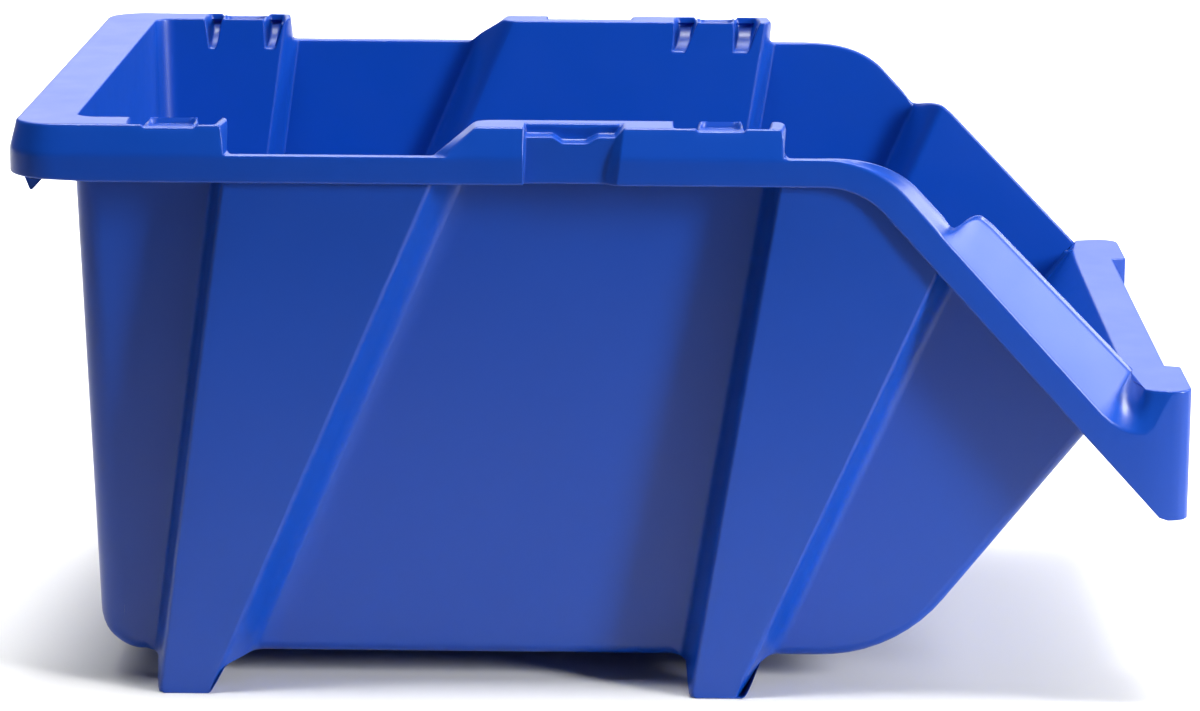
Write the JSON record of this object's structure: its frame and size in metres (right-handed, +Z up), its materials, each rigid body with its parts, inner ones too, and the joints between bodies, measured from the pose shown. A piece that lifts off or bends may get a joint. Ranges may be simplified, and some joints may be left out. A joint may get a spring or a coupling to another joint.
{
  "type": "stackable storage bin",
  "caption": "Open-fronted stacking bin with a sloping hopper front, foot seats on the rim and corner feet",
  "frame": {"origin": "middle of the bin's length and width, on the plane of its foot soles", "axes": "+X to the open front, +Y to the left side, +Z up"},
  "size_m": [0.6, 0.4, 0.3],
  "materials": {
    "bin": "fine satin moulded polypropylene"
  },
  "bodies": {
    "root": {"floor_panel": "bin", "heel_curve": "bin", "rear_wall": "bin", "hopper_curve": "bin", "hopper_wall": "bin", "right_rear_corner": "bin", "left_rear_corner": "bin", "right_rear_column_step": "bin", "left_rear_column_step": "bin", "right_rear_column_face": "bin", "left_rear_column_face": "bin", "right_rear_column_crease": "bin", "left_rear_column_crease": "bin", "right_middle_panel": "bin", "left_middle_panel": "bin", "right_front_column_step": "bin", "left_front_column_step": "bin", "right_front_column_face": "bin", "left_front_column_face": "bin", "right_front_column_crease": "bin", "left_front_column_crease": "bin", "right_front_panel": "bin", "left_front_panel": "bin", "right_rear_foot": "bin", "left_rear_foot": "bin", "right_front_foot": "bin", "left_front_foot": "bin", "rear_flange": "bin", "rear_skirt": "bin", "hanging_lip": "bin", "right_rim_corner": "bin", "left_rim_corner": "bin", "right_rear_skirt": "bin", "left_rear_skirt": "bin", "right_hand_recess": "bin", "left_hand_recess": "bin", "right_front_skirt": "bin", "left_front_skirt": "bin", "right_slope_skirt": "bin", "left_slope_skirt": "bin", "right_rear_rim": "bin", "left_rear_rim": "bin", "right_front_rim": "bin", "left_front_rim": "bin", "right_rear_block": "bin", "left_rear_block": "bin", "right_centre_block": "bin", "left_centre_block": "bin", "right_front_block": "bin", "left_front_block": "bin", "right_slope_block": "bin", "left_slope_block": "bin", "front_lip": "bin", "label_panel": "bin", "right_cheek": "bin", "left_cheek": "bin", "right_ear": "bin", "left_ear": "bin"}
  },
  "joints": []
}
